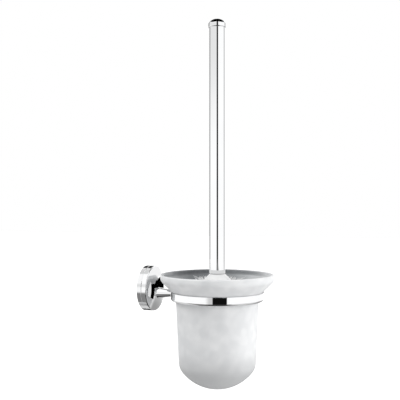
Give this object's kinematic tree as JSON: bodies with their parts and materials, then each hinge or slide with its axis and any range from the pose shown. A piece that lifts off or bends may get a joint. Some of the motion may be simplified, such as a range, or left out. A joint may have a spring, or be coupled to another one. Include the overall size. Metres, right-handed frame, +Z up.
{
  "type": "toilet brush holder",
  "caption": "Wall-hung toilet brush holder: round chrome rosette and arm carry a ring with a frosted glass cup; a brush with a straight chrome handle stands in the cup.",
  "frame": {"origin": "centre of the wall plate's back face, on the wall", "axes": "+Z up, +Y into the wall, so the holder stands out toward -Y; +X is to the right for someone facing the wall"},
  "size_m": [0.114, 0.1355, 0.3693],
  "materials": {
    "chrome_plate": "polished",
    "chrome_shell": "polished",
    "chrome_arm": "polished",
    "chrome_ring": "polished",
    "chrome_tube": "polished",
    "chrome_cap": "polished",
    "steel_dark": "plain",
    "steel_plain": "plain",
    "brass_insert": "turned",
    "liner_plastic": "satin",
    "grey_plastic": "satin",
    "seal_rubber": "matt",
    "white_plastic": "moulded",
    "white_bristle": "fibre",
    "frosted_glass": "frosted"
  },
  "bodies": {
    "bracket": {"wall_plate": "chrome_plate", "rosette_shell": "chrome_shell", "grub_screw": "steel_dark", "arm": "chrome_arm", "arm_screw": "steel_plain", "arm_washer": "steel_plain", "ring": "chrome_ring", "ring_liner": "liner_plastic"},
    "cup": {"glass_cup": "frosted_glass"},
    "brush": {"handle_tube": "chrome_tube", "handle_cap": "chrome_cap", "cap_bush": "grey_plastic", "tube_insert": "brass_insert", "head_seal": "seal_rubber", "head_stud": "steel_plain", "brush_core": "white_plastic", "bristle_collar": "white_bristle", "end_tuft": "white_bristle", "bristle_row_1": "white_bristle", "bristle_row_2": "white_bristle", "bristle_row_3": "white_bristle", "bristle_row_4": "white_bristle", "bristle_row_5": "white_bristle", "bristle_row_6": "white_bristle"}
  },
  "joints": [
    {"name": "cup_lift", "type": "slide", "parent": "bracket", "child": "cup", "axis": [0, 0, 1], "range_m": [0, 0.115]},
    {"name": "brush_lift", "type": "slide", "parent": "cup", "child": "brush", "axis": [0, 0, 1], "range_m": [0, 0.125]}
  ]
}
